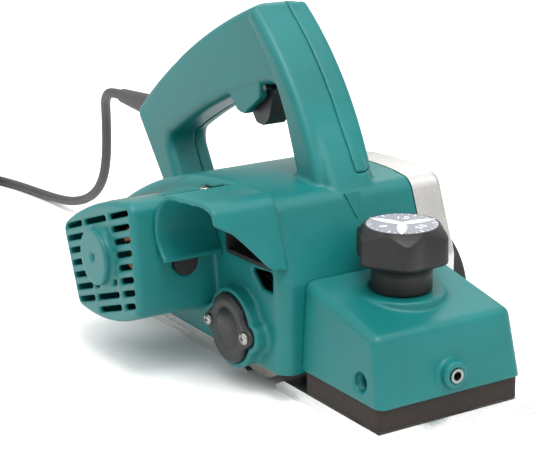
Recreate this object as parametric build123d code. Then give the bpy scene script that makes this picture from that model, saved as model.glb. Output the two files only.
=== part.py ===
from build123d import *
from math import acos, atan2, cos, pi, radians, sin, sqrt, tan
import os

# Electric hand planer, millimetres.  +X is the planing direction, +Z is up, -Y is the operator's right.
# The origin is the centre of the rear base's sole.

# --- driving dimensions ------------------------------------------------------------------------------
WALL = 3.0                                # moulded wall thickness
BODY_RIGHT, BODY_LEFT = -50.0, 32.0       # sides of the main housing block
FRAME_IN, FRAME_OUT = 43.0, 50.0          # aluminium side frame plate
COVER_OUT = 62.0                          # outside of the belt cover
MOTOR_END = -94.0                         # slotted end face of the motor barrel

DRUM_X, DRUM_Z = 90.0, 29.0               # cutter drum axis, along Y
DRUM_R, CUT_R = 26.5, 28.9                # drum body and cutting circle
DRUM_HALF = 41.0                          # half of the 82 mm planing width
CHAMBER_R = 30.5                          # shroud round the drum
MOTOR_X, MOTOR_Z = 29.0, 56.5             # armature axis, along Y
BRUSH_TILT, SLOT_TILT = 3.0, 18.3         # degrees that the brushes and the end slots lean, nose up
DRUM_SHAFT_R, MOTOR_SHAFT_R = 6.0, 5.0
DRUM_BEARING_R, MOTOR_BEARING_R = 14.0, 11.0
STATOR_R = 22.8
RUNNING_FIT = 0.05
BOSS_R, BOSS_OUT = 14.2, 4.5             # round boss in the middle of the slots
SLOT_TOP, SLOT_PITCH, SLOT_HEIGHT = 17.7, 6.3, 2.7
BRUSH_Y = -67.0
BRUSH_SIDES = [(0, 37.2), (180, 38.5)]    # the way each brush faces, and how far out the barrel's wall is
BLADE_TURNS = (25, 205)                   # where the two blades stand
TRIGGER_X, TRIGGER_Z = 50.0, 134.0        # trigger pivot

DRUM_PULLEY_R, MOTOR_PULLEY_R = 17.0, 9.5
BELT_GAP, BELT_THICK = 0.3, 2.4

SOLE_HALF_W = 41.0
REAR_SOLE_HALF_L = 78.0
SHOE_REAR, SHOE_FLAT_END, SHOE_TIP = 104.5, 189.0, 198.0
SHOE_T, SHOE_LIP = 6.5, 1.2
BOX_REAR, BOX_FRONT = 126.0, 188.5        # front housing under the knob
BOX_BOTTOM = 16.6

SIDE_HOLE_X, SIDE_HOLE_Z, SIDE_HOLE_R = 172.5, 25.5, 3.35   # threaded, for the guide fence
INSERT_Z, INSERT_R = 26.0, 3.4                              # threaded insert in the nose

KNOB_X = 149.0
KNOB_HEAD_R, KNOB_NECK_R, KNOB_LOBES = 22.5, 14.4, 6
KNOB_NECK_Z, KNOB_HEAD_Z, KNOB_TOP_Z = 55.6, 68.0, 85.5
DIAL_R, DIAL_T = 16.6, 1.5
SCREW_R = 5.0

HOOD_ROOT, HOOD_WALL = -45.5, 2.4         # the chip hood starts here on the body

GRIP_HALF, POST_HALF = 13.0, 16.5         # half widths of the grip and of the front post
PARTING_Y = 4.0                           # the handle's two halves meet here

CORD_R = 3.0
GUARD_ROOT_X, GUARD_TIP_X, GUARD_Z = -74.0, -128.0, 99.0
COIL_X, COIL_Y = -353.8, -42.4            # middle of the tied coil
COIL_INNER_R, COIL_OUTER_R, COIL_TOP = 24.0, 42.0, 18.0
CORD_POINTS = [(-128, 0, 99), (-145, 0, 99), (-161, 4, 92), (-172, 9.5, 77), (-175, 10.5, 55.5),
               (-180, 10.5, 38), (-193, 11.2, 24.5), (-215, 12.5, 13.5), (-245, 13.5, 5.6), (-282, 11.5, 3.2),
               (-317, 7, 3), (-345, -1.5, 3.1), (-366, -8.5, 3)]
TAIL_POINTS = [(-362, -80.5, 3), (-342, -82, 3.2), (-322, -85, 4.4), (-303, -86.6, 6.5)]

CAP_SCREW_OUT = 16.6                      # bearing cap screws, either side of the cap's middle
HANDLE_SCREWS = [(-55.0, 78.0), (52.0, 153.0), (96.0, 108.0)]
COVER_SCREWS = [(60.0, 67.5), (56.0, 21.5), (10.5, 56.5)]
BASE_SCREWS = [(-58.0, -28.0), (-58.0, 26.0), (44.0, -28.0), (44.0, 26.0)]
FRAME_SCREWS = [(-60.0, 22.0), (-36.0, 54.0), (60.0, 86.0), (118.0, 60.0)]


# --- plain solids ------------------------------------------------------------------------------------
def block(x0, x1, y0, y1, z0, z1):
    return Pos((x0 + x1) / 2, (y0 + y1) / 2, (z0 + z1) / 2) * Box(x1 - x0, y1 - y0, z1 - z0)


def x_rod(y, z, radius, x0, x1):
    return Pos((x0 + x1) / 2, y, z) * Rot(0, 90, 0) * Cylinder(radius, x1 - x0)


def y_rod(x, z, radius, y0, y1):
    return Pos(x, (y0 + y1) / 2, z) * Rot(90, 0, 0) * Cylinder(radius, y1 - y0)


def z_rod(x, y, radius, z0, z1):
    return Pos(x, y, (z0 + z1) / 2) * Cylinder(radius, z1 - z0)


def y_ring(x, z, outer, inner, y0, y1):
    return y_rod(x, z, outer, y0, y1) - y_rod(x, z, inner, y0, y1)


def z_ring(x, y, outer, inner, z0, z1):
    return z_rod(x, y, outer, z0, z1) - z_rod(x, y, inner, z0, z1)


def y_slab(face, y0, y1):
    """A side-view outline, drawn as (x, z), made solid from y0 to y1."""
    return extrude(Plane.XZ.offset(-y1) * face, y1 - y0)


def x_slab(face, x0, x1):
    """A front-view outline, drawn as (y, z), made solid from x0 to x1."""
    return extrude(Plane.YZ.offset(x0) * face, x1 - x0)


def polygon(*points):
    return make_face(Polyline(*points, close=True))


def rounded(face, radius, *corners):
    """Round the named corners of an outline."""
    chosen = [min(face.vertices(), key=lambda v: (v.X - x) ** 2 + (v.Y - y) ** 2) for x, y in corners]
    return fillet(chosen, radius)


def capsule(x1, z1, r1, x2, z2, r2):
    """Two circles and the tangents that join them."""
    span = sqrt((x2 - x1) ** 2 + (z2 - z1) ** 2)
    heading = atan2(z2 - z1, x2 - x1)
    lean = acos((r1 - r2) / span)
    up, down = heading + lean, heading - lean
    web = polygon((x1 + r1 * cos(up), z1 + r1 * sin(up)), (x2 + r2 * cos(up), z2 + r2 * sin(up)),
                  (x2 + r2 * cos(down), z2 + r2 * sin(down)), (x1 + r1 * cos(down), z1 + r1 * sin(down)))
    return Pos(x1, z1) * Circle(r1) + Pos(x2, z2) * Circle(r2) + web


def group(solids):
    """Separate solids kept in one node."""
    return Compound(children=[solid for item in solids for solid in item.solids()])


# --- side-view outlines ------------------------------------------------------------------------------
def housing_face():
    top = ThreePointArc((-38, 64), (34, 91.5), (98, 96.5))
    rest = Polyline((98, 96.5), (112, 95), (126, 58), (126, 14), (-70, 14), (-70, 36), (-52, 58), (-38, 64))
    face = make_face([top, rest])
    return rounded(rounded(face, 9, (112, 95)), 8, (-70, 36), (126, 58))


def barrel_face():
    top = ThreePointArc((-15.5, 62.5), (23, 81.5), (62, 90))
    bottom = ThreePointArc((66.7, 35), (36, 24.4), (0, 23))
    face = make_face([top, Polyline((62, 90), (66.9, 45), (66.7, 35)), bottom, Line((0, 23), (-15.5, 62.5))])
    return rounded(face, 6, (-15.5, 62.5), (62, 90), (66.7, 35), (0, 23))


def handle_face():
    front = ThreePointArc((112, 92), (91.5, 124), (46, 175.5))
    top = ThreePointArc((46, 175.5), (-22, 146), (-89, 99))
    rest = Polyline((-89, 99), (-57, 60), (-57, 50), (112, 50), (112, 92))
    return rounded(make_face([front, top, rest]), 6, (-89, 99), (46, 175.5))


def handle_gap_face():
    under = ThreePointArc((62, 138), (-2, 116.5), (-52, 90))
    rest = Polyline((-52, 90), (-30, 52), (96, 52), (62, 138))
    return rounded(make_face([under, rest]), 8, (-52, 90), (62, 138))


def post_face():
    front = ThreePointArc((112, 70), (94, 120), (46, 174.5))
    rear = ThreePointArc((40, 168), (68, 136), (90, 70))
    return make_face([front, Line((46, 174.5), (40, 168)), rear, Line((90, 70), (112, 70))])


# --- housing -----------------------------------------------------------------------------------------
def edges_on(part, axis, value, test=lambda centre: True):
    """Edges that lie in the plane axis = value."""
    index = "XYZ".index(axis)
    found = []
    for edge in part.edges():
        box = edge.bounding_box()
        low, high = (box.min.X, box.min.Y, box.min.Z)[index], (box.max.X, box.max.Y, box.max.Z)[index]
        if abs(low - value) < 0.01 and abs(high - value) < 0.01 and test(edge.center()):
            found.append(edge)
    return found


def full_handle():
    """Both halves of the loop handle, before they are parted."""
    loop = y_slab(handle_face() - handle_gap_face(), -GRIP_HALF, GRIP_HALF)
    above = [e for side in (-GRIP_HALF, GRIP_HALF) for e in edges_on(loop, "Y", side, lambda c: c.Z > 62)]
    loop = fillet(above, 5.0)
    post = y_slab(post_face(), -POST_HALF, POST_HALF)
    post = fillet(edges_on(post, "Y", -POST_HALF) + edges_on(post, "Y", POST_HALF), 3.5)
    guard = polygon((16, 126), (24, 118), (31, 117.5), (46, 128), (46, 136), (16, 134))
    guard = fillet(y_slab(guard, -GRIP_HALF + 1, GRIP_HALF - 1).edges().filter_by(Axis.Y), 1.5)
    return loop + post + guard


def handle_cavity():
    """Room for the switch and the leads inside the grip, and the slot that the trigger passes."""
    grip = make_face([ThreePointArc((50, 162), (-15, 141), (-76, 102)),
                      Polyline((-76, 102), (-60, 96), (-8, 120), (40, 136), (66, 143), (50, 162))])
    post = polygon((58, 146), (84, 122), (105, 96), (105, 70), (96, 70), (76, 122), (62, 142))
    slot = block(23, 55, -7, 7, 108, 140)
    half = GRIP_HALF - WALL
    room = y_slab(grip, -half, half) + y_slab(post, -half, half) + slot
    for x, z in HANDLE_SCREWS:
        room = room - y_rod(x, z, 4.0, -half, half)
    return room


def body_block():
    shell = y_slab(housing_face(), BODY_RIGHT, BODY_LEFT)
    return fillet(edges_on(shell, "Y", BODY_RIGHT, lambda c: c.Z > 60), 7.0)


def barrel():
    solid = y_slab(barrel_face(), MOTOR_END, BODY_RIGHT + WALL)
    return fillet(edges_on(solid, "Y", MOTOR_END), 3.0)


def nameplate():
    """A thin foil on the top of the barrel."""
    skin = y_slab(offset(barrel_face(), 0.5) - barrel_face(), -84, -52)
    return skin & block(-6, 20, -90, -50, 66, 90)


def end_slots():
    """The cooling slots: three columns, with the middle one interrupted by the boss."""
    columns = [(-39.5, -16.0, range(7)), (-13.2, 12.8, (0, 1, 5, 6, 7)), (16.4, 41.0, range(8))]
    window = offset(barrel_face(), -2.6)
    boss = Pos(MOTOR_X, MOTOR_Z) * Circle(BOSS_R + 1.5)
    cuts = []
    for left, right, rows in columns:
        for row in rows:
            middle = SLOT_TOP - SLOT_PITCH * row
            bar = Pos((left + right) / 2, middle) * Rectangle(right - left, SLOT_HEIGHT)
            cuts.append(((Pos(MOTOR_X, MOTOR_Z) * Rot(0, 0, SLOT_TILT) * bar) & window) - boss)
    return [y_slab(cut, MOTOR_END - 1, MOTOR_END + WALL + 1) for cut in cuts]


def cap_outline(grow=0.0):
    """A round cap with an ear at each side."""
    ears = [Pos(DRUM_X + side * CAP_SCREW_OUT, DRUM_Z + 1) * Circle(4.8 + grow) for side in (-1, 1)]
    return Pos(DRUM_X, DRUM_Z + 1) * Circle(17.0 + grow) + ears[0] + ears[1]


def window_face():
    """The gap in the right side wall below the duct."""
    return polygon((98, 61), (117, 63), (117, 53), (107, 53))


def main_housing(handle):
    inner = offset(housing_face(), -WALL)
    shell = body_block() + barrel()
    cap_seat = y_slab(cap_outline(2.6), -57, BODY_RIGHT)
    end_boss = y_rod(MOTOR_X, MOTOR_Z, BOSS_R, MOTOR_END - BOSS_OUT, MOTOR_END)
    shell = shell - y_slab(inner, BODY_RIGHT + WALL, BODY_LEFT + 1)
    shell = shell - y_slab(offset(barrel_face(), -WALL), MOTOR_END + WALL, BODY_RIGHT + WALL + 1)
    webs = [block(MOTOR_X - 4, MOTOR_X + 4, y, y + 4, 15, 92) for y in (-47, -20)]
    ribs = y_rod(MOTOR_X, MOTOR_Z, 30, -47, -43) + y_rod(MOTOR_X, MOTOR_Z, 30, -20, -16) + webs
    ribs = ribs - y_rod(MOTOR_X, MOTOR_Z, STATOR_R, -48, -15)
    ribs = ribs + y_ring(DRUM_X, DRUM_Z, CHAMBER_R + WALL, CHAMBER_R, BODY_RIGHT + 1, BODY_LEFT)
    ribs = (ribs & y_slab(housing_face(), BODY_RIGHT + 1, BODY_LEFT)) - block(92, 126, -47, 40, 42, 90)
    right_half = handle & block(-100, 120, -20, PARTING_Y, 50, 180)
    foot = handle & block(80, 120, PARTING_Y - 1, 20, 60, 100)
    grip = (right_half + foot) - y_slab(inner, BODY_RIGHT + WALL, BODY_LEFT + 1) - handle_cavity()
    pocket = y_ring(MOTOR_X, MOTOR_Z, MOTOR_BEARING_R + 2.5, MOTOR_BEARING_R, -91, -85)
    seat = y_ring(DRUM_X, DRUM_Z, DRUM_BEARING_R + 2.5, DRUM_BEARING_R, BODY_RIGHT, -46)
    housing = shell + cap_seat + end_boss + ribs + grip + pocket + seat
    housing = housing - y_rod(DRUM_X, DRUM_Z, DRUM_BEARING_R, -55, -44) - y_slab(cap_outline(), -58, -55)
    housing = housing - y_slab(window_face(), BODY_RIGHT - 1, BODY_RIGHT + WALL + 1)
    housing = housing - duct_outline(-60, -30)
    housing = housing - y_rod(DRUM_X, DRUM_Z, CHAMBER_R, BODY_RIGHT + WALL, BODY_LEFT + 1)
    for slot in end_slots():
        housing = housing - slot
    return housing - y_rod(MOTOR_X, MOTOR_Z, 2.2, MOTOR_END - BOSS_OUT - 1, MOTOR_END - BOSS_OUT + 2)


def handle_cover(handle):
    left = handle & block(-100, 120, PARTING_Y, 20, 50, 180)
    foot = block(80, 120, PARTING_Y - 1, 20, 60, 100)
    return left - y_slab(housing_face(), 0, 21) - foot - handle_cavity()


def side_frame():
    """The aluminium plate that carries the left bearings, with a flange that closes the housing."""
    plate = y_slab(housing_face(), FRAME_IN, FRAME_OUT)
    plate = fillet(edges_on(plate, "Y", FRAME_OUT, lambda c: c.Z > 60), 3.0)
    flange = y_slab(housing_face() - offset(housing_face(), -WALL - 1), BODY_LEFT, FRAME_IN)
    flange = flange - y_rod(DRUM_X, DRUM_Z, CHAMBER_R, BODY_LEFT - 1, FRAME_IN)
    frame = plate + flange
    frame = frame - y_rod(DRUM_X, DRUM_Z, DRUM_BEARING_R, FRAME_IN - 1, FRAME_OUT + 1)
    return frame - y_rod(MOTOR_X, MOTOR_Z, MOTOR_BEARING_R, FRAME_IN - 1, FRAME_OUT + 1)


def belt_cover():
    outer = y_slab(capsule(91, 33.5, 31, MOTOR_X, MOTOR_Z, 24), FRAME_OUT, COVER_OUT)
    outer = fillet(edges_on(outer, "Y", COVER_OUT), 3.0)
    inner = y_slab(capsule(91, 33.5, 28.6, MOTOR_X, MOTOR_Z, 21.6), FRAME_OUT - 1, COVER_OUT - 2)
    cover = outer - inner
    for x, z in COVER_SCREWS:
        cover = cover + y_rod(x, z, 3.6, FRAME_OUT, COVER_OUT - 1)
    return cover


def bearing_cap():
    return y_slab(cap_outline(-0.1), -59, -55) - y_rod(DRUM_X, DRUM_Z + 1, 9.0, -60, -58)


def hood_face():
    """The hood seen along the motor: round behind, flat on top, and flush with the body in front."""
    back = ThreePointArc((71, 61), (62.4, 77.5), (78, 96))
    face = make_face([back, Polyline((78, 96), (104, 98), (113.5, 97), (126, 62), (71, 61))])
    return rounded(face, 6, (113.5, 97))


def chip_deflector():
    """A hood over the chip window, open outboard and below, with a skirt that runs onto the barrel."""
    hollow = y_slab(offset(hood_face(), -HOOD_WALL), -84, HOOD_ROOT + 1)
    hood = y_slab(hood_face(), -83, HOOD_ROOT) - hollow
    hood = hood - extrude(polygon((55, -82.5), (130, -78), (130, -90), (55, -90)), 120)
    lip = polygon((-90, 91.5), (-80, 90), (-70, 84.5), (-63, 77), (-53.5, 66), (-40, 65.5), (-40, 50),
                  (-90, 50))
    lip = rounded(lip, 7, (-70, 84.5), (-53.5, 66))
    hood = hood - x_slab(lip, 90, 130) - block(72, 100, -90, HOOD_ROOT + 1, 50, 64)
    ramp = polygon((42, 80), (42, 85.5), (62, 91.5), (78, 96.3), (82, 96.5), (82, 90))
    skirt = y_slab(rounded(ramp, 20, (62, 91.5)), -72, HOOD_ROOT)
    skirt = fillet(edges_on(skirt, "Y", -72, lambda c: c.Z > 86 and c.X < 81), 3.0)
    return hood + (skirt - hollow)


def duct_outline(y0, y1, wall=0.0):
    """The chip duct as a plain solid, or what is inside a wall of that thickness."""
    box = block(77 + wall, 117 - wall, y0, y1, 61 + wall, 91 - wall)
    box = fillet(box.edges().filter_by(Axis.Y), 6 - wall)
    for face in (hood_face(), housing_face()):
        box = box & y_slab(offset(face, -HOOD_WALL - wall), y0, y1)
    return box


def chip_duct():
    """A black chute from the drum to the hood, open outboard and over the drum."""
    return duct_outline(-51, -30) - duct_outline(-52, -32, 2.0) - block(92, 112, -46, -33, 58, 64)


def rear_base():
    side = polygon((-REAR_SOLE_HALF_L, 0), (REAR_SOLE_HALF_L, 0), (80, 4), (70, 8), (62, 14), (-64, 14),
                   (-70, 4), (-REAR_SOLE_HALF_L, 4))
    plate = y_slab(side, -SOLE_HALF_W, SOLE_HALF_W)
    plate = plate - block(-80, 60, -SOLE_HALF_W - 1, -37, 4, 15) - block(-80, 60, 37, SOLE_HALF_W + 1, 4, 15)
    plate = plate - block(-60, 52, -33, 33, 4, 15)
    for x, y in BASE_SCREWS:
        plate = plate + z_rod(x, y, 6.0, 3, 14)
    return plate - y_rod(DRUM_X, DRUM_Z, CHAMBER_R, -60, 60)


# --- front housing, front base and depth control -----------------------------------------------------
def box_face():
    return polygon((BOX_REAR, BOX_BOTTOM), (BOX_FRONT, BOX_BOTTOM), (181.5, 48), (BOX_REAR, 59.5))


def front_housing():
    sides = polygon((-40.5, 10), (40.5, 10), (37.5, 64), (-37.5, 64))
    box = y_slab(box_face(), -45, 45) & x_slab(sides, BOX_REAR, BOX_FRONT)
    rims = [e for e in box.edges() if e.center().X > BOX_REAR + 1 and e.center().Z > BOX_BOTTOM + 1]
    box = fillet(rims, 4.5)
    room = y_slab(offset(box_face(), -WALL), -36.0, 36.0) + block(BOX_REAR + WALL, 184.5, -36, 36, 10, 30)
    box = box + z_rod(KNOB_X, 0, 20.4, 45, KNOB_NECK_Z - 0.5)
    box = box - room + x_rod(0, INSERT_Z, 6.5, 180, BOX_FRONT + 2.5)
    top = block(BOX_REAR, BOX_FRONT, -38, 38, 10, 80) & y_slab(box_face(), -38, 38)
    centre = z_rod(KNOB_X, 0, 13, 30, 34) + z_rod(KNOB_X, 0, 9, 30, 58)
    sleeves = z_rod(KNOB_X, 26, 7, 22, 58) + z_rod(KNOB_X, -26, 7, 22, 58)
    box = box + ((centre + sleeves) & top) + x_rod(0, INSERT_Z, 6.5, 172, 184)
    box = box + y_rod(SIDE_HOLE_X, SIDE_HOLE_Z, 7.0, -37, -27)
    box = box - y_rod(SIDE_HOLE_X, SIDE_HOLE_Z, SIDE_HOLE_R, -45, -26)
    box = box - y_rod(SIDE_HOLE_X, SIDE_HOLE_Z, 4.7, -45, -36.5)
    box = box - z_rod(KNOB_X, 0, SCREW_R + RUNNING_FIT, 20, 60)
    box = box - z_rod(KNOB_X, 0, KNOB_NECK_R + 0.8, KNOB_NECK_Z - 0.5, 70)
    for side in (-26, 26):
        box = box - z_rod(KNOB_X, side, 4.0 + RUNNING_FIT, 10, 46)
    return box - x_rod(0, INSERT_Z, INSERT_R, 176, 195)


def threaded_insert():
    return x_rod(0, INSERT_Z, INSERT_R, 176, BOX_FRONT + 2.8) - x_rod(0, INSERT_Z, 2.1, 175, 195)


def front_base():
    shoe = y_slab(polygon((SHOE_REAR, 0), (SHOE_TIP, 0), (SHOE_TIP, SHOE_LIP), (SHOE_FLAT_END, SHOE_T),
                          (112, SHOE_T), (SHOE_REAR, 2.5)), -SOLE_HALF_W, SOLE_HALF_W)
    shoe = shoe + z_rod(KNOB_X, 0, 9, SHOE_T - 1, 22)
    shoe = shoe - z_rod(KNOB_X, 0, SCREW_R + RUNNING_FIT, 8, 23)
    for side in (-26, 26):
        shoe = shoe - z_rod(KNOB_X, side, 4.0, 3, 10)
    return shoe


def guide_pins():
    return group([z_rod(KNOB_X, side, 4.0, 3, 40) for side in (-26, 26)])


def seal():
    outer = fillet(block(127, 187, -39.5, 39.5, SHOE_T, BOX_BOTTOM).edges().filter_by(Axis.Z), 4)
    return outer - fillet(block(133, 182, -34, 34, 5, 18).edges().filter_by(Axis.Z), 2)


def coil_spring(x, y, z0, z1, radius, wire, turns):
    """An upright open spring between two heights. wire is the wire's radius."""
    path = Pos(x, y, z0 + wire) * Helix((z1 - z0 - 2 * wire) / turns, z1 - z0 - 2 * wire, radius)
    return sweep(Plane(path @ 0, z_dir=path % 0) * Circle(wire), path=path, is_frenet=True)


def knob():
    head = z_rod(KNOB_X, 0, KNOB_HEAD_R, KNOB_HEAD_Z, KNOB_TOP_Z)
    for lobe in range(KNOB_LOBES):
        angle = 2 * pi * lobe / KNOB_LOBES
        head = head - z_rod(KNOB_X + 30 * cos(angle), 30 * sin(angle), 11.5, 60, 90)
    head = fillet([e for e in head.edges() if abs(e.bounding_box().size.Z) < 0.01], 1.5)
    neck = Pos(KNOB_X, 0, (KNOB_NECK_Z + KNOB_HEAD_Z + 1) / 2) * Cone(
        KNOB_NECK_R, KNOB_NECK_R - 0.8, KNOB_HEAD_Z + 1 - KNOB_NECK_Z)
    knob = head + neck - z_rod(KNOB_X, 0, SCREW_R, 50, 80)
    return knob - z_rod(KNOB_X, 0, DIAL_R, KNOB_TOP_Z - 0.7, 90)


def knob_dial():
    return z_rod(KNOB_X, 0, DIAL_R, KNOB_TOP_Z - 0.7, KNOB_TOP_Z - 0.7 + DIAL_T)


def depth_screw():
    return z_rod(KNOB_X, 0, SCREW_R, 10, 80)


def retaining_ring():
    return z_ring(KNOB_X, 0, 7.5, SCREW_R, 28.2, 29.6)


# --- cutter drum and belt drive ----------------------------------------------------------------------
def on_drum(part, turn):
    """Put a part drawn about the origin onto the drum's axis."""
    return Pos(DRUM_X, 0, DRUM_Z) * Rot(0, turn, 0) * part


def blade():
    return block(14, CUT_R, -DRUM_HALF, DRUM_HALF, -1.2, 0)


def blade_clamp():
    return block(13, 25.2, -DRUM_HALF + 1, DRUM_HALF - 1, 0, 6)


def clamp_bolts():
    return [Pos(0, y, 0) * (z_rod(19, 0, 2.5, -8, 6) + z_rod(19, 0, 4.2, 6, 9)) for y in (-27, 0, 27)]


def cutter_drum():
    drum = y_rod(0, 0, DRUM_R, -DRUM_HALF, DRUM_HALF) - y_rod(0, 0, DRUM_SHAFT_R, -50, 50)
    for turn in (0, 180):
        drum = drum - Rot(0, turn, 0) * block(13, 30, -DRUM_HALF - 1, DRUM_HALF + 1, 0, 14)
        drum = drum - Rot(0, turn, 0) * block(14, 30, -DRUM_HALF - 1, DRUM_HALF + 1, -1.2, 0)
        for bolt in clamp_bolts():
            drum = drum - Rot(0, turn, 0) * bolt
    return on_drum(drum, BLADE_TURNS[0])


def pulley_nut():
    return y_slab(Pos(DRUM_X, DRUM_Z) * (RegularPolygon(9, 6) - Circle(DRUM_SHAFT_R)), 57.4, 59.2)


def pulley(x, z, radius, bore):
    wheel = y_ring(x, z, radius, bore, 51, 57.4)
    for side in (51, 57.0):
        wheel = wheel + y_ring(x, z, radius + 1.6, bore, side, side + 0.4)
    return wheel


def belt():
    inside = capsule(DRUM_X, DRUM_Z, DRUM_PULLEY_R + BELT_GAP, MOTOR_X, MOTOR_Z, MOTOR_PULLEY_R + BELT_GAP)
    grow = BELT_GAP + BELT_THICK
    outside = capsule(DRUM_X, DRUM_Z, DRUM_PULLEY_R + grow, MOTOR_X, MOTOR_Z, MOTOR_PULLEY_R + grow)
    return y_slab(outside - inside, 51.8, 56.6)


# --- motor -------------------------------------------------------------------------------------------
def on_motor(part, y=0.0):
    """Put a part drawn about the origin onto the armature's axis."""
    return Pos(MOTOR_X, y, MOTOR_Z) * Rot(0, -BRUSH_TILT, 0) * part


def both_brushes(solid_of):
    """A solid for each brush. solid_of is told how far out the wall is."""
    return group([on_motor(Rot(0, turn, 0) * solid_of(wall), BRUSH_Y) for turn, wall in BRUSH_SIDES])


def brush_holder(wall):
    return block(14, wall - 5, -5.5, 5.5, -4.5, 4.5) - block(13, wall - 4, -3.5, 3.5, -2.5, 2.5)


def stator_core():
    core = y_rod(0, 0, STATOR_R, -52, -4) - y_rod(0, 0, 15.6, -53, -3)
    for turn in (0, 180):
        core = core - Rot(0, turn, 0) * block(8, 21.6, -53, -3, -8.6, 8.6)
    return on_motor(core)


def field_coils():
    coils = []
    for turn in (0, 180):
        coils.append(on_motor(Rot(0, turn, 0) * (block(16.6, 21.5, -57, 1, -8.5, 8.5))))
    return group(coils)


def fan():
    wheel = y_ring(0, 0, 24, 5, 6, 8) + y_ring(0, 0, 9, 5, 6, 16)
    for vane in range(9):
        wheel = wheel + Rot(0, 40 * vane, 0) * block(8, 23.5, 7, 16, -0.8, 0.8)
    return on_motor(wheel)


# --- switch ------------------------------------------------------------------------------------------
def trigger():
    paddle = polygon((27, 129), (29, 118), (33, 113), (40, 112.5), (45, 117), (49, 130), (50, 137),
                     (30, 133.5))
    paddle = rounded(paddle, 2.5, (33, 113), (40, 112.5))
    solid = y_slab(paddle, -6, 6) + y_rod(TRIGGER_X, TRIGGER_Z, 3.6, -6, 6)
    return solid - y_rod(TRIGGER_X, TRIGGER_Z, 1.5 + RUNNING_FIT, -7, 7)


def switch_body():
    body = polygon((-12, 122), (20, 131), (21, 142), (44, 147.5), (43, 152.5), (20, 149), (-12, 138.5))
    return y_slab(body, -8, 8)


# --- cord --------------------------------------------------------------------------------------------
def corner_radius(before, corner, after):
    """The bend that takes up 45 percent of the shorter of the two runs at a corner."""
    a, b, c = Vector(*before), Vector(*corner), Vector(*after)
    turn = radians((b - a).get_angle(c - b))
    return 0.45 * min((b - a).length, (c - b).length) / tan(turn / 2)


def cord_tube(name, points):
    """A round cord through the points, straight between bends."""
    radii = [corner_radius(*points[i - 1:i + 2]) for i in range(1, len(points) - 1)]
    print(name, "bend radii", [round(r, 1) for r in radii])
    pieces, start = [], Vector(*points[0])
    for i, radius in enumerate(radii, 1):
        a, b, c = (Vector(*p) for p in points[i - 1:i + 2])
        into, out = (b - a).normalized(), (c - b).normalized()
        cut = radius * tan(radians(into.get_angle(out)) / 2)
        enter, leave = b - into * cut, b + out * cut
        middle = b + (out - into).normalized() * (radius / cos(radians(into.get_angle(out)) / 2) - radius)
        pieces += [Line(start, enter), ThreePointArc(enter, middle, leave)]
        start = leave
    pieces.append(Line(start, Vector(*points[-1])))
    path = Wire(pieces)
    tube = sweep(Plane(path @ 0, z_dir=path % 0) * Circle(CORD_R), path=path)
    print(name, "length", path.length, "volume", tube.volume, "expected", pi * CORD_R ** 2 * path.length)
    return tube


def cord_guard():
    sleeve = Pos((GUARD_ROOT_X + GUARD_TIP_X) / 2, 0, GUARD_Z) * Rot(0, -90, 0) * Cone(
        7.6, 4.2, GUARD_ROOT_X - GUARD_TIP_X)
    return sleeve + x_rod(0, GUARD_Z, 8.6, GUARD_ROOT_X, GUARD_ROOT_X + 3)


def coil_tie():
    band = block(23, 43.2, -4, 4, 0, COIL_TOP + 1.2) - block(24.2, 42, -5, 5, 1.2, COIL_TOP)
    return Pos(COIL_X, COIL_Y, 0) * Rot(0, 0, 200) * band


def cord_coil():
    return z_ring(COIL_X, COIL_Y, COIL_OUTER_R, COIL_INNER_R, 0, COIL_TOP) - coil_tie()


def plug_body():
    return fillet(block(0, 36, -13, 13, 0, 13).edges(), 4)


# --- the assembly ------------------------------------------------------------------------------------
def y_screws(places, radius, head_radius, tip, neck, top):
    """Screws along Y: a shank from tip to neck and a head from neck to top."""
    return [y_rod(x, z, radius, min(tip, neck), max(tip, neck)) +
            y_rod(x, z, head_radius, min(neck, top), max(neck, top)) for x, z in places]


def fasteners():
    caps = [(DRUM_X - CAP_SCREW_OUT, DRUM_Z + 1), (DRUM_X + CAP_SCREW_OUT, DRUM_Z + 1)]
    base = [z_rod(x, y, 1.9, 2.6, 19) + z_rod(x, y, 3.8, 0.4, 2.6) for x, y in BASE_SCREWS]
    return {"bearing_cap_screws": y_screws(caps, 1.7, 3.1, -50.5, -59, -60.8),
            "belt_cover_screws": y_screws(COVER_SCREWS, 1.7, 3.1, 45, 61, 62.6),
            "handle_screws": y_screws(HANDLE_SCREWS, 1.7, 3.1, -6, 11.5, 13.4),
            "frame_screws": y_screws(FRAME_SCREWS, 1.9, 3.6, 33, 50, 52),
            "rear_base_screws": base,
            "deflector_screw": [z_rod(57, -50, 1.7, 80, 89.3) + z_rod(57, -50, 3.1, 89.3, 91.1)]}


def drum_parts():
    bolts = [Rot(0, turn, 0) * bolt for turn in (0, 180) for bolt in clamp_bolts()]
    blades = [Rot(0, turn, 0) * blade() for turn in (0, 180)]
    clamps = [Rot(0, turn, 0) * blade_clamp() for turn in (0, 180)]
    for bolt in bolts:
        blades = [item - bolt for item in blades]
        clamps = [item - bolt for item in clamps]
    turn = BLADE_TURNS[0]
    return {"cutter_drum": cutter_drum(),
            "blades": group([on_drum(item, turn) for item in blades]),
            "blade_clamps": group([on_drum(item, turn) for item in clamps]),
            "clamp_bolts": group([on_drum(item, turn) for item in bolts]),
            "drum_shaft": y_rod(DRUM_X, DRUM_Z, DRUM_SHAFT_R, -53.5, 59.2),
            "drum_pulley": pulley(DRUM_X, DRUM_Z, DRUM_PULLEY_R, DRUM_SHAFT_R),
            "pulley_nut": pulley_nut(),
            "drum_bearings": group([
                y_ring(DRUM_X, DRUM_Z, DRUM_BEARING_R, DRUM_SHAFT_R + RUNNING_FIT, -54, -45),
                y_ring(DRUM_X, DRUM_Z, DRUM_BEARING_R, DRUM_SHAFT_R + RUNNING_FIT, 43, 50)]),
            "drive_belt": belt()}


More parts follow.
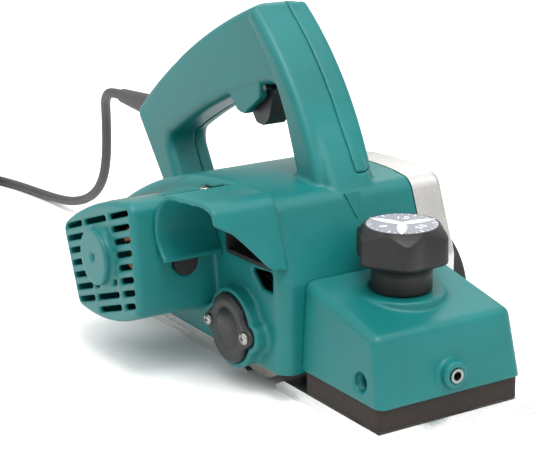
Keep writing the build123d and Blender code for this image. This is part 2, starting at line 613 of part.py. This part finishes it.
def motor_parts():
    return {"armature_shaft": on_motor(y_rod(0, 0, MOTOR_SHAFT_R, -91, 59)),
            "armature_core": on_motor(y_ring(0, 0, 15, MOTOR_SHAFT_R, -51, -5)),
            "armature_winding": group([on_motor(y_ring(0, 0, 13, MOTOR_SHAFT_R, -58, -51)),
                                       on_motor(y_ring(0, 0, 13, MOTOR_SHAFT_R, -5, 2))]),
            "commutator": on_motor(y_ring(0, 0, 11, MOTOR_SHAFT_R, -76, -58)),
            "fan": fan(),
            "motor_pulley": on_motor(pulley(0, 0, MOTOR_PULLEY_R, MOTOR_SHAFT_R)),
            "motor_bearings": group([
                y_ring(MOTOR_X, MOTOR_Z, MOTOR_BEARING_R, MOTOR_SHAFT_R + RUNNING_FIT, -91, -85),
                y_ring(MOTOR_X, MOTOR_Z, MOTOR_BEARING_R, MOTOR_SHAFT_R + RUNNING_FIT, 43, 50)]),
            "stator_core": stator_core(),
            "field_coils": field_coils(),
            "brush_holders": both_brushes(brush_holder),
            "brushes": both_brushes(lambda wall: block(11.4, 22, -3.4, 3.4, -2.4, 2.4)),
            "brush_springs": both_brushes(lambda wall: x_rod(0, 0, 1.8, 22, wall - 5)),
            "brush_caps": both_brushes(lambda wall: x_rod(0, 0, 6.5, wall - 5, wall + 0.6))}


def switch_parts():
    return {"trigger": trigger(), "switch_body": switch_body(),
            "trigger_spring": coil_spring(36, 0, 135.3, 145, 2.6, 0.4, 6),
            "trigger_pin": y_rod(TRIGGER_X, TRIGGER_Z, 1.5, -11.5, 11.5),
            "lock_button": y_rod(8, 138, 4.0, 11, 17.5)}


def cord_parts():
    plug_place = Pos(TAIL_POINTS[-1][0], TAIL_POINTS[-1][1], 0) * Rot(0, 0, -4)
    pins = [plug_place * x_rod(side, 6.5, 2.0, 36, 54) for side in (-9.5, 9.5)]
    return {"cord_guard": cord_guard(),
            "cord_clamp": block(-64, -57, -8, 8, 98.6, 105),
            "cord_tube": cord_tube("cord_tube", CORD_POINTS),
            "cord_coil": cord_coil(),
            "coil_tie": coil_tie(),
            "cord_tail": cord_tube("cord_tail", TAIL_POINTS),
            "plug_body": plug_place * plug_body(),
            "plug_pins": group(pins)}


def build_parts():
    handle = full_handle()
    made = {"main_housing": main_housing(handle), "handle_cover": handle_cover(handle),
            "side_frame": side_frame(), "belt_cover": belt_cover(), "bearing_cap": bearing_cap(),
            "chip_deflector": chip_deflector(), "chip_duct": chip_duct(), "rear_base": rear_base(),
            "nameplate": nameplate(), "front_housing": front_housing(), "threaded_insert": threaded_insert(),
            "front_base": front_base(), "guide_pins": guide_pins(), "seal": seal(),
            "knob": knob(), "knob_dial": knob_dial(), "depth_screw": depth_screw(),
            "retaining_ring": retaining_ring(),
            "front_spring": coil_spring(KNOB_X, 0, SHOE_T, 30, 11, 0.9, 6)}
    made.update(drum_parts())
    made.update(motor_parts())
    made.update(switch_parts())
    made.update(cord_parts())
    seated = {"bearing_cap_screws": ["bearing_cap", "main_housing"],
              "belt_cover_screws": ["belt_cover", "side_frame"],
              "handle_screws": ["handle_cover", "main_housing"],
              "frame_screws": ["side_frame", "main_housing"],
              "rear_base_screws": ["rear_base", "main_housing"],
              "deflector_screw": ["chip_deflector", "main_housing"]}
    for name, screws in fasteners().items():
        for node in seated[name]:
            for screw in screws:
                made[node] = made[node] - screw
        made[name] = group(screws)
    for node in ("main_housing", "handle_cover"):
        made[node] = made[node] - made["trigger_pin"] - made["cord_guard"]
        made[node] = made[node] - y_rod(8, 138, 4.0 + RUNNING_FIT, 9, 20)
    made["main_housing"] = made["main_housing"] - made["brush_caps"] - made["chip_deflector"]
    made["main_housing"] = made["main_housing"] - made["stator_core"] - made["field_coils"]
    made["cord_tube"] = made["cord_tube"] - made["cord_coil"]
    made["cord_tail"] = made["cord_tail"] - made["cord_coil"] - made["plug_body"]
    return made


parts = build_parts()
os.makedirs("parts", exist_ok=True)
for name, part in parts.items():
    export_step(part, f"parts/{name}.step")
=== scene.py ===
from math import atan2, cos, exp, pi, radians, sin, tau

import bmesh
import bpy
from mathutils import Matrix, Vector


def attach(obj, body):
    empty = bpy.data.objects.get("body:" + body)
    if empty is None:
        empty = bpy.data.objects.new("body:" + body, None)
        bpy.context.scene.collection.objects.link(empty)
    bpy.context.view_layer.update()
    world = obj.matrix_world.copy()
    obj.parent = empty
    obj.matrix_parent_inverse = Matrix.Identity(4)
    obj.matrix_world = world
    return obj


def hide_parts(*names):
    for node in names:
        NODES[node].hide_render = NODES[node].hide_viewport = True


# Electric hand planer. Metres, in the row frame: +X is the planing direction, -Y the operator's right, +Z up.

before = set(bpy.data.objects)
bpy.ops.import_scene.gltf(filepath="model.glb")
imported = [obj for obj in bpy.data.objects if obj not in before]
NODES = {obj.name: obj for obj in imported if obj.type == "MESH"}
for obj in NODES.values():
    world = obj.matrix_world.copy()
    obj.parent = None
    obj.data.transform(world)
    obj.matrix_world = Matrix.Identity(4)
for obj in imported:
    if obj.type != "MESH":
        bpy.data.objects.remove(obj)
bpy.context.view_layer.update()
MM = 0.001

# --- driving values ----------------------------------------------------------------------------------
CAMERA = {"azimuth": 58.2, "elevation": 16.2, "roll": -0.68, "distance": 0.801, "lens": 107.5}
CAMERA_TARGET = Vector((0.0611, -0.0149, 0.0657))

KNOB_AXIS = Vector((0.149, 0.0, 0.0))
KNOB_HEAD_R, KNOB_LOBES, KNOB_VALLEY = 22.6, 6, 4.2      # mm: out to a lobe's tip, and depth between lobes
DIAL_TOP = 86.3                                           # mm: height of the dial's face
DIAL_PRINT = 0.06                                         # mm: thickness of the print on it
CAP_MIDDLE = Vector((0.090, -0.055, 0.030))
CAP_R, CAP_EAR, CAP_WAIST = 16.9, 4.3, 1.3                # mm: the round, its ears and the waists beside them
FACE_LEAN = atan2(14, 37)                                 # how far the body's front face leans back
POINTER_TIP = Vector((0.1171, -0.0026, 0.0816))
POINTER_HEIGHT, POINTER_HALF_WIDTH = 0.0125, 0.0045

CORD_R = 0.003
CORD_ROUTE = [(-0.128, 0, 0.099), (-0.145, 0, 0.099), (-0.161, 0.004, 0.092), (-0.172, 0.0095, 0.077),
              (-0.175, 0.0105, 0.0555), (-0.180, 0.0105, 0.038), (-0.193, 0.0112, 0.0245),
              (-0.215, 0.0125, 0.0135), (-0.245, 0.0135, 0.0056), (-0.282, 0.0115, 0.0032),
              (-0.317, 0.007, 0.003)]
TAIL_ROUTE = [(-0.342, -0.082, 0.0032), (-0.322, -0.085, 0.0044), (-0.303, -0.0866, 0.0065)]
COIL_MIDDLE = Vector((-0.3538, -0.0424, 0.0))
COIL_SEATS = [(39, 3), (33, 3), (27, 3), (27, 9), (33, 9), (27, 15), (33, 15), (39, 15), (39, 9), (40, 3)]
COIL_STEPS = 24                                           # control points in a turn
COIL_END = 204                                            # steps from the way in to the way out
COIL_FIRST_CHANGE, COIL_CHANGE = 6, 4                     # steps before the first change, and in a change

# The softened mouldings: slot, voxel size, rounds of smoothing.
MOULDINGS = {"main_housing": ("housing_plastic", 0.0009, 4),
             "handle_cover": ("housing_plastic", 0.0009, 4),
             "front_housing": ("housing_plastic", 0.0008, 5),
             "chip_deflector": ("deflector_plastic", 0.0007, 5)}
# Screws with a cross recess: the way the head faces, its radius and its height.
SCREWS = {"bearing_cap_screws": ((0, -1, 0), 0.0031, 0.0018), "deflector_screw": ((0, 0, 1), 0.0031, 0.0018),
          "belt_cover_screws": ((0, 1, 0), 0.0031, 0.0016), "handle_screws": ((0, 1, 0), 0.0031, 0.0019),
          "frame_screws": ((0, 1, 0), 0.0036, 0.0020)}
TEAL_DARK, TEAL_LIGHT = (0.002, 0.118, 0.115), (0.004, 0.145, 0.141)


# --- camera and light --------------------------------------------------------------------------------
def make_camera():
    azimuth, elevation = radians(CAMERA["azimuth"]), radians(CAMERA["elevation"])
    back = Vector((sin(azimuth) * cos(elevation), -cos(azimuth) * cos(elevation), sin(elevation)))
    right = Vector((cos(azimuth), sin(azimuth), 0))
    right = Matrix.Rotation(radians(-CAMERA["roll"]), 3, back).inverted() @ right
    up = back.cross(right)
    data = bpy.data.cameras.new("camera")
    data.lens, data.sensor_width = CAMERA["lens"], 36.0
    data.shift_x = -0.004
    data.clip_start, data.clip_end = 0.05, 20.0
    camera = bpy.data.objects.new("camera", data)
    bpy.context.scene.collection.objects.link(camera)
    place = Matrix((right, up, back)).transposed().to_4x4()
    place.translation = CAMERA_TARGET + back * CAMERA["distance"]
    camera.matrix_world = place
    bpy.context.scene.camera = camera


def area_light(name, place, aim, size, power):
    data = bpy.data.lights.new(name, "AREA")
    data.shape, data.size, data.energy = "DISK", size, power
    light = bpy.data.objects.new(name, data)
    light.location = place
    light.rotation_euler = (Vector(aim) - Vector(place)).to_track_quat("-Z", "Y").to_euler()
    bpy.context.scene.collection.objects.link(light)


def make_lights():
    world = bpy.data.worlds.new("studio")
    bpy.context.scene.world = world
    world.use_nodes = True
    bpy.context.scene.view_settings.view_transform = "Standard"
    background = world.node_tree.nodes["Background"]
    background.inputs["Color"].default_value = (1.0, 1.0, 1.0, 1)
    background.inputs["Strength"].default_value = 0.82
    data = bpy.data.lights.new("sky", "SUN")
    data.energy, data.angle = 2.3, radians(80)
    sky = bpy.data.objects.new("sky", data)
    sky.rotation_euler = Vector((-0.35, 0.05, -1)).to_track_quat("-Z", "Y").to_euler()
    bpy.context.scene.collection.objects.link(sky)
    area_light("key", (0.5, -0.2, 1.3), (0.05, 0, 0.05), 0.6, 9)
    area_light("side", (-0.35, -0.95, 0.8), (0.05, 0, 0.05), 0.6, 2.5)
    area_light("rim", (-0.8, 0.8, 1.0), (0.0, 0, 0.08), 0.7, 3)


def make_floor():
    bm = bmesh.new()
    bmesh.ops.create_grid(bm, x_segments=1, y_segments=1, size=3.0)
    floor = mesh_object("floor", bm)
    give(floor, floor_material())
    floor.location.z = -0.00005


# --- material helpers --------------------------------------------------------------------------------
class Shader:
    """A material's node tree, with the few kinds of node used here."""

    def __init__(self, name, **sockets):
        self.material = bpy.data.materials.new(name)
        self.material.use_nodes = True
        self.tree = self.material.node_tree
        self.main = self.tree.nodes["Principled BSDF"]
        for socket, value in sockets.items():
            self.main.inputs[socket.replace("_", " ")].default_value = value
        self.place = self.tree.nodes.new("ShaderNodeTexCoord").outputs["Object"]

    def link(self, source, target):
        self.tree.links.new(source, target)

    def stretched(self, x, y, z):
        node = self.tree.nodes.new("ShaderNodeMapping")
        node.inputs["Scale"].default_value = (x, y, z)
        self.link(self.place, node.inputs["Vector"])
        return node.outputs["Vector"]

    def noise(self, scale, detail, roughness=0.55, place=None):
        node = self.tree.nodes.new("ShaderNodeTexNoise")
        node.inputs["Scale"].default_value = scale
        node.inputs["Detail"].default_value = detail
        node.inputs["Roughness"].default_value = roughness
        self.link(place or self.place, node.inputs["Vector"])
        return node.outputs["Fac"]

    def cells(self, scale, place=None):
        node = self.tree.nodes.new("ShaderNodeTexVoronoi")
        node.inputs["Scale"].default_value = scale
        self.link(place or self.place, node.inputs["Vector"])
        return node.outputs["Distance"]

    def ranged(self, value, low, high, to_low=0.0, to_high=1.0):
        node = self.tree.nodes.new("ShaderNodeMapRange")
        for socket, number in zip(("From Min", "From Max", "To Min", "To Max"), (low, high, to_low, to_high)):
            node.inputs[socket].default_value = number
        self.link(value, node.inputs["Value"])
        return node.outputs["Result"]

    def maths(self, operation, a, b):
        node = self.tree.nodes.new("ShaderNodeMath")
        node.operation = operation
        for socket, value in zip(node.inputs, (a, b)):
            if isinstance(value, (int, float)):
                socket.default_value = value
            else:
                self.link(value, socket)
        return node.outputs["Value"]

    def mixed(self, share, first, second):
        node = self.tree.nodes.new("ShaderNodeMix")
        node.data_type = "RGBA"
        self.link(share, node.inputs["Factor"])
        for socket, colour in (("A", first), ("B", second)):
            found = [s for s in node.inputs if s.name == socket and s.type == "RGBA"][0]
            if isinstance(colour, tuple):
                found.default_value = (*colour, 1)
            else:
                self.link(colour, found)
        return [s for s in node.outputs if s.type == "RGBA"][0]

    def bump(self, height, distance, strength):
        node = self.tree.nodes.new("ShaderNodeBump")
        node.inputs["Strength"].default_value = strength
        node.inputs["Distance"].default_value = distance
        self.link(height, node.inputs["Height"])
        self.link(node.outputs["Normal"], self.main.inputs["Normal"])

    def colour(self, source):
        self.link(source, self.main.inputs["Base Color"])

    def roughness(self, source):
        self.link(source, self.main.inputs["Roughness"])


def moulded(name, dark, light, rough=0.42, grain=0.00006):
    """Injection-moulded plastic: a fine grain over faint flow marks."""
    m = Shader(name, IOR=1.49, Specular_IOR_Level=0.35)
    flow = m.noise(22, 4)
    fine = m.noise(2600, 2)
    m.colour(m.mixed(m.ranged(flow, 0.35, 0.65), dark, light))
    m.roughness(m.maths("ADD", m.ranged(flow, 0.3, 0.7, rough - 0.05, rough + 0.05),
                        m.ranged(fine, 0.3, 0.7, -0.03, 0.03)))
    m.bump(m.maths("ADD", fine, m.maths("MULTIPLY", m.noise(120, 3), 0.8)), grain, 0.6)
    return m.material


def metal(name, dark, light, rough, stretch=(60, 60, 60), marks=0.00003):
    """Bare metal, with tool marks stretched along the axis whose scale is smallest."""
    m = Shader(name, Metallic=1.0)
    lines = m.noise(20, 4, 0.7, m.stretched(*stretch))
    cloud = m.noise(35, 4)
    m.colour(m.mixed(m.ranged(lines, 0.3, 0.7), dark, light))
    m.roughness(m.maths("ADD", m.ranged(cloud, 0.3, 0.7, rough - 0.08, rough + 0.1),
                        m.ranged(lines, 0.3, 0.7, -0.05, 0.05)))
    m.bump(lines, marks, 0.7)
    return m.material


def floor_material():
    m = Shader("floor", Roughness=0.85)
    m.colour(m.mixed(m.noise(6, 3), (0.86, 0.86, 0.86), (0.9, 0.9, 0.9)))
    return m.material


def foam(name):
    m = Shader(name, Roughness=0.95)
    pores = m.cells(2200)
    cloud = m.noise(60, 4)
    m.colour(m.mixed(m.ranged(pores, 0.0, 0.6), (0.006, 0.004, 0.003), (0.03, 0.022, 0.018)))
    m.bump(m.maths("ADD", pores, cloud), 0.0002, 0.7)
    return m.material


def laminated(name):
    """A stack of thin steel sheets, seen edge on along Y."""
    m = Shader(name, Metallic=1.0, Roughness=0.45)
    sheets = m.noise(40, 1, 0.5, m.stretched(0.2, 60, 0.2))
    m.colour(m.mixed(m.ranged(sheets, 0.4, 0.6), (0.12, 0.12, 0.13), (0.4, 0.4, 0.42)))
    m.bump(sheets, 0.0001, 0.8)
    return m.material


def wound_copper(name):
    m = Shader(name, Metallic=0.9, Roughness=0.35)
    wires = m.cells(60, m.stretched(10, 1, 10))
    m.colour(m.mixed(m.ranged(wires, 0.0, 0.5), (0.5, 0.16, 0.05), (0.8, 0.34, 0.14)))
    m.bump(wires, 0.0003, 0.8)
    return m.material


def cord_sheath(name):
    m = Shader(name, Roughness=0.55)
    fine = m.noise(1500, 3)
    m.colour(m.mixed(m.noise(30, 3), (0.028, 0.026, 0.026), (0.055, 0.051, 0.05)))
    m.bump(fine, 0.00005, 0.5)
    return m.material


# --- mesh helpers ------------------------------------------------------------------------------------
def mesh_object(name, bm):
    mesh = bpy.data.meshes.new(name)
    bm.normal_update()
    bm.to_mesh(mesh)
    bm.free()
    made = bpy.data.objects.new(name, mesh)
    bpy.context.scene.collection.objects.link(made)
    return made


def bridge(bm, lower, upper):
    """Faces between two rings of corners."""
    for i in range(len(lower)):
        j = (i + 1) % len(lower)
        bm.faces.new((lower[i], lower[j], upper[j], upper[i]))


def give(piece, material):
    piece.data.materials.clear()
    piece.data.materials.append(material)


def finish_piece(piece, body, material, replaces=None):
    """Give a new piece its material, its body and the node it stands for, if there is one."""
    give(piece, material)
    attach(piece, body)
    if replaces:
        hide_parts(replaces)


# --- the cord ----------------------------------------------------------------------------------------
def coil_points():
    """Turns laid in a block three wide and three high, each eased over to the next turn's seat."""
    points = []
    for step in range(COIL_END + 1):
        since_change = step - COIL_FIRST_CHANGE
        seat = max(0, since_change // COIL_STEPS + 1)
        share = min(1.0, (since_change - COIL_STEPS * (seat - 1)) / COIL_CHANGE)
        before, after = COIL_SEATS[max(0, seat - 1)], COIL_SEATS[seat]
        blend = share * share * (3 - 2 * share) if seat else 1.0
        radius, height = (x + (y - x) * blend for x, y in zip(before, after))
        angle = radians(90) + tau * step / COIL_STEPS
        points.append(COIL_MIDDLE + Vector((radius * cos(angle), radius * sin(angle), height)) * MM)
    return points


def make_cord(material):
    points = [Vector(p) for p in CORD_ROUTE] + coil_points() + [Vector(p) for p in TAIL_ROUTE]
    curve = bpy.data.curves.new("mains_cord", "CURVE")
    curve.dimensions = "3D"
    spline = curve.splines.new("NURBS")
    spline.points.add(len(points) - 1)
    for control, point in zip(spline.points, points):
        control.co = (*point, 1)
    spline.order_u = 3
    spline.use_endpoint_u = True
    curve.resolution_u = 8
    curve.bevel_depth = CORD_R
    curve.bevel_resolution = 6
    curve.use_fill_caps = True
    cord = bpy.data.objects.new("mains_cord", curve)
    bpy.context.scene.collection.objects.link(cord)
    curve.materials.append(material)
    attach(cord, "root")
    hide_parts("cord_tube", "cord_coil", "cord_tail")


# --- moulded shells: the CAD shape with the soft edges of a moulding ----------------------------------
def evaluated(piece):
    graph = bpy.context.evaluated_depsgraph_get()
    return bpy.data.meshes.new_from_object(piece.evaluated_get(graph))


def make_moulding(node, slot, voxel, rounds):
    """A copy of a node's shape, remeshed and relaxed so that its edges round off as a moulding's do."""
    piece = bpy.data.objects.new(node + "_moulding", NODES[node].data.copy())
    bpy.context.scene.collection.objects.link(piece)
    remesh = piece.modifiers.new("remesh", "REMESH")
    remesh.mode, remesh.voxel_size = "VOXEL", voxel
    relax = piece.modifiers.new("relax", "SMOOTH")
    relax.factor, relax.iterations = 0.5, rounds
    mesh = evaluated(piece)
    piece.modifiers.clear()
    piece.data = mesh
    mesh.shade_smooth()
    finish_piece(piece, "root", palette["teal"], node)


# --- the depth knob ----------------------------------------------------------------------------------
def loft(name, rings):
    """A closed skin over rings of points, each ring as long as the others."""
    bm = bmesh.new()
    rows = [[bm.verts.new(point) for point in ring] for ring in rings]
    for lower, upper in zip(rows, rows[1:]):
        bridge(bm, lower, upper)
    bm.faces.new(list(reversed(rows[0])))
    bm.faces.new(rows[-1])
    return mesh_object(name, bm)


def knob_side(angle):
    """How far out the knob's head reaches in a direction."""
    wave = (0.5 - 0.5 * cos(KNOB_LOBES * (angle + radians(30)))) ** 0.8
    return KNOB_HEAD_R - KNOB_VALLEY * wave


def knob_rings(steps=180):
    """Rings from the foot of the neck up to the lip round the dial."""
    angles = [tau * i / steps for i in range(steps)]
    neck = ((13.0, 55.6), (13.9, 55.7), (14.3, 56.4), (14.1, 63.5), (14.4, 65.6), (15.4, 67.2), (17.0, 68.0))
    lip = ((17.5, 86.2), (17.0, 86.25), (16.75, 86.0), (16.7, 84.9))
    lower_edge = ((0.9, -0.1), (0.2, 0.4), (0.0, 1.4))
    upper_edge = ((0.1, -1.2), (0.4, -0.4), (1.1, 0.05))
    reach = [knob_side(a) for a in angles]
    foot = [68.4 + 0.25 * (r - 17) for r in reach]
    top = [86.1 - 0.75 * (r - 17.4) for r in reach]
    rings = [[(r, a, z) for a in angles] for r, z in neck]
    for ends, edge in ((foot, lower_edge), (top, upper_edge)):
        for inset, rise in edge:
            rings.append([(r - inset, a, z + rise) for a, r, z in zip(angles, reach, ends)])
    rings += [[(r, a, z) for a in angles] for r, z in lip]
    return [[KNOB_AXIS + Vector((r * cos(a), r * sin(a), z)) * MM for r, a, z in ring] for ring in rings]


def make_knob():
    knob = loft("knob_moulding", knob_rings())
    knob.data.shade_smooth()
    finish_piece(knob, "depth_knob", palette["knob"], "knob")


def print_on_dial(name, outline):
    """A mark as thin as print, with that outline in X and Y, millimetres about the knob's axis."""
    foot = DIAL_TOP - 0.02
    bm = bmesh.new()
    low = [bm.verts.new(KNOB_AXIS + Vector((x, y, foot)) * MM) for x, y in outline]
    high = [bm.verts.new(KNOB_AXIS + Vector((x, y, foot + DIAL_PRINT)) * MM) for x, y in outline]
    bm.faces.new(list(reversed(low)))
    bm.faces.new(high)
    for i in range(len(low)):
        j = (i + 1) % len(low)
        bm.faces.new((low[i], low[j], high[j], high[i]))
    finish_piece(mesh_object(name, bm), "depth_knob", palette["print"])


def star_outline(steps=16):
    """Three long arms whose sides sweep in to the middle."""
    points = []
    for arm in range(3):
        tip = radians(-37 + 120 * arm)
        for i in range(steps):
            angle = tip + tau / 3 * i / steps
            spread = min(i, steps - i) / (steps / 2)
            radius = 15.6 * (1 - spread) ** 3 + 2.1
            points.append((radius * cos(angle), radius * sin(angle)))
    return points


def tick_outline(angle, inner, outer, half):
    """A bar along a radius, from inner to outer and half to each side."""
    ends = [(inner, -half), (outer, -half), (outer, half), (inner, half)]
    return [(r * cos(angle) - w * sin(angle), r * sin(angle) + w * cos(angle)) for r, w in ends]


def print_number(text, bearing):
    """A number with its top towards the rim, at a bearing from +X in degrees."""
    curve = bpy.data.curves.new("dial_number", "FONT")
    curve.body, curve.size, curve.align_x, curve.align_y = text, 0.0052, "CENTER", "CENTER"
    curve.extrude = DIAL_PRINT / 2 * MM
    number = bpy.data.objects.new("dial_number_" + text.replace(".", "_"), curve)
    bpy.context.scene.collection.objects.link(number)
    angle = radians(bearing)
    number.location = KNOB_AXIS + Vector((9.6 * cos(angle), 9.6 * sin(angle), DIAL_TOP + 0.03)) * MM
    number.rotation_euler.z = angle - pi / 2
    finish_piece(number, "depth_knob", palette["print"])


def make_dial():
    """The star, thirty ticks of which each fifth is longer, and three numbers."""
    print_on_dial("dial_star", star_outline())
    for tick in range(30):
        inner, half = (14.9, 0.16) if tick % 5 else (13.6, 0.28)
        print_on_dial(f"dial_tick_{tick}", tick_outline(tau * tick / 30, inner, 16.1, half))
    for text, bearing in (("1.0", 143), ("0.5", 23), ("0", 263)):
        print_number(text, bearing)


# --- screws ------------------------------------------------------------------------------------------
def circle(bm, turn, radius, z, steps=24):
    """A ring of corners about the local Z axis, put in place by turn."""
    angles = [tau * i / steps for i in range(steps)]
    return [bm.verts.new(turn @ Vector((radius * cos(a), radius * sin(a), z))) for a in angles]


def screw_mesh(bm, seat, axis, radius, height):
    """A domed head with a cross recess, and a short shank behind its seat."""
    turn = Matrix.Translation(seat) @ Vector(axis).to_track_quat("Z", "Y").to_matrix().to_4x4()
    dome = [(0.55, 0.0), (0.97, 0.0), (1.0, 0.25), (0.96, 0.55), (0.82, 0.82), (0.62, 0.96)]
    rows = [circle(bm, turn, radius * 0.55, -2.5 * MM)]
    rows += [circle(bm, turn, radius * share, rise * height) for share, rise in dome]
    for lower, upper in zip(rows, rows[1:]):
        bridge(bm, lower, upper)
    bm.faces.new(list(reversed(rows[0])))
    arm, half, depth = radius * 0.56, radius * 0.13, height * 0.35
    cross = [(arm, -half), (arm, half), (half, half), (half, arm), (-half, arm), (-half, half),
             (-arm, half), (-arm, -half), (-half, -half), (-half, -arm), (half, -arm), (half, -half)]
    rim = [bm.verts.new(turn @ Vector((x, y, height))) for x, y in cross]
    floor = [bm.verts.new(turn @ Vector((x * 0.7, y * 0.7, depth))) for x, y in cross]
    bridge(bm, list(reversed(rim)), list(reversed(floor)))
    bm.faces.new(floor)
    edges = [bm.edges.get((a, b)) for ring in (rows[-1], rim) for a, b in zip(ring, ring[1:] + ring[:1])]
    bmesh.ops.triangle_fill(bm, edges=edges, use_beauty=True)


def islands(mesh):
    """The corners of each separate solid in a mesh."""
    source = bmesh.new()
    source.from_mesh(mesh)
    seen, found = set(), []
    for start in source.verts:
        if start.index in seen:
            continue
        stack, island = [start], []
        seen.add(start.index)
        while stack:
            vert = stack.pop()
            island.append(vert.co.copy())
            for other in (edge.other_vert(vert) for edge in vert.link_edges):
                if other.index not in seen:
                    seen.add(other.index)
                    stack.append(other)
        found.append(island)
    source.free()
    return found


def make_screws(node, axis, radius, height):
    """Detailed heads where the node's plain heads are: one for each separate solid."""
    bm = bmesh.new()
    way = Vector(axis)
    for island in islands(NODES[node].data):
        top = max(corner.dot(way) for corner in island)
        middle = (Vector(map(min, zip(*island))) + Vector(map(max, zip(*island)))) / 2
        seat = middle + way * (top - height - middle.dot(way))
        screw_mesh(bm, seat, axis, radius, height)
    finish_piece(mesh_object(node + "_heads", bm), "root", palette["zinc"], node)


# --- bearing cap -------------------------------------------------------------------------------------
def cap_radius(angle):
    """Round, with an ear at each side and a waist beside each ear."""
    side = min(abs(angle), abs(abs(angle) - pi))
    return CAP_R + CAP_EAR * exp(-(side / 0.23) ** 2) - CAP_WAIST * exp(-((side - 0.5) / 0.17) ** 2)


def make_bearing_cap(steps=120):
    """A flat rim that follows the ears, a step down inside it, and a round domed middle."""
    angles = [-pi + tau * i / steps for i in range(steps)]
    profile = [(0.985, 0.0), (1.0, -0.3), (1.0, -3.0), (0.975, -3.7), (0.93, -4.0), (0.72, -4.0),
               (0.66, -3.7), (0.60, -3.7), (0.56, -4.1), (0.45, -4.8), (0.28, -5.3), (0.08, -5.5)]
    rings = []
    for share, y in profile:
        blend = min(1, max(0, (share - 0.6) / 0.35))
        ring = []
        for a in angles:
            radius = share * (cap_radius(a) * blend + CAP_R * (1 - blend))
            ring.append(CAP_MIDDLE + Vector((radius * cos(a), y, radius * sin(a))) * MM)
        rings.append(ring)
    cap = loft("bearing_cap_moulding", rings)
    cap.data.shade_smooth()
    finish_piece(cap, "root", palette["black"], "bearing_cap")


# --- small marks on the mouldings --------------------------------------------------------------------
def make_index_triangle():
    """A raised pointer on the body's leaning front face, over the knob."""
    out = Vector((cos(FACE_LEAN), 0, sin(FACE_LEAN)))
    up = Vector((-sin(FACE_LEAN), 0, cos(FACE_LEAN)))
    top = POINTER_TIP + up * POINTER_HEIGHT
    across = Vector((0, POINTER_HALF_WIDTH, 0))
    corners = [POINTER_TIP, top + across, top - across]
    bm = bmesh.new()
    low = [bm.verts.new(c - out * 0.002) for c in corners]
    high = [bm.verts.new(c + out * 0.0006) for c in corners]
    bm.faces.new(low)
    bm.faces.new(list(reversed(high)))
    bridge(bm, list(reversed(low)), list(reversed(high)))
    bmesh.ops.recalc_face_normals(bm, faces=bm.faces)
    piece = mesh_object("index_pointer", bm)
    bevel = piece.modifiers.new("edge", "BEVEL")
    bevel.width, bevel.segments = 0.0002, 2
    piece.data = evaluated(piece)
    piece.modifiers.clear()
    finish_piece(piece, "root", palette["teal"])


# --- materials ---------------------------------------------------------------------------------------
palette = {
    "teal": moulded("teal_plastic", TEAL_DARK, TEAL_LIGHT),
    "black": moulded("black_plastic", (0.012, 0.012, 0.013), (0.02, 0.02, 0.021), 0.4),
    "knob": moulded("knob_plastic", (0.008, 0.0075, 0.0075), (0.014, 0.013, 0.013), 0.45, 0.00009),
    "cast": metal("cast_aluminium", (0.5, 0.49, 0.47), (0.64, 0.63, 0.61), 0.42, (6, 60, 60), 0.00005),
    "machined": metal("machined_aluminium", (0.62, 0.62, 0.61), (0.82, 0.82, 0.81), 0.3, (3, 80, 80),
                      0.00002),
    "steel": metal("steel", (0.4, 0.4, 0.4), (0.6, 0.6, 0.6), 0.28, (80, 4, 80)),
    "dark_steel": metal("dark_steel", (0.04, 0.04, 0.042), (0.09, 0.09, 0.09), 0.4),
    "zinc": metal("zinc_plate", (0.55, 0.54, 0.5), (0.75, 0.74, 0.7), 0.25),
    "brass": metal("brass", (0.6, 0.48, 0.26), (0.75, 0.62, 0.36), 0.3),
    "drum": metal("drum_aluminium", (0.3, 0.27, 0.24), (0.45, 0.42, 0.39), 0.42, (60, 3, 60)),
    "foam": foam("seal_foam"),
    "lamination": laminated("lamination"),
    "copper": wound_copper("wound_copper"),
    "sheath": cord_sheath("cord_sheath"),
    "insert": metal("insert_steel", (0.2, 0.23, 0.22), (0.32, 0.35, 0.34), 0.35),
    "foil": moulded("dial_foil", (0.17, 0.175, 0.2), (0.21, 0.215, 0.25), 0.3),
    "nameplate": moulded("nameplate_foil", (0.5, 0.06, 0.05), (0.55, 0.08, 0.06), 0.35),
    "print": moulded("white_print", (0.8, 0.8, 0.8), (0.86, 0.86, 0.86), 0.4, 0.00001),
}
NODE_MATERIALS = {
    "teal": "main_housing handle_cover front_housing chip_deflector",
    "black": "belt_cover bearing_cap chip_duct fan switch_body brush_caps cord_clamp coil_tie trigger "
             "lock_button",
    "knob": "knob",
    "cast": "side_frame",
    "machined": "rear_base front_base",
    "steel": "guide_pins depth_screw retaining_ring front_spring blades blade_clamps drum_shaft "
             "drum_bearings motor_bearings armature_shaft brush_springs trigger_spring drum_pulley "
             "motor_pulley",
    "dark_steel": "clamp_bolts pulley_nut brushes trigger_pin",
    "zinc": "bearing_cap_screws belt_cover_screws handle_screws frame_screws rear_base_screws "
            "deflector_screw",
    "brass": "brush_holders plug_pins",
    "insert": "threaded_insert",
    "drum": "cutter_drum",
    "foam": "seal",
    "lamination": "armature_core stator_core",
    "copper": "armature_winding commutator field_coils",
    "sheath": "cord_guard plug_body drive_belt",
    "foil": "knob_dial",
    "nameplate": "nameplate",
}
for key, names in NODE_MATERIALS.items():
    for node in names.split():
        give(NODES[node], palette[key])

make_camera()
make_lights()
make_floor()
make_cord(palette["sheath"])
for node, settings in MOULDINGS.items():
    make_moulding(node, *settings)
make_knob()
make_dial()
make_bearing_cap()
make_index_triangle()
for node, settings in SCREWS.items():
    make_screws(node, *settings)
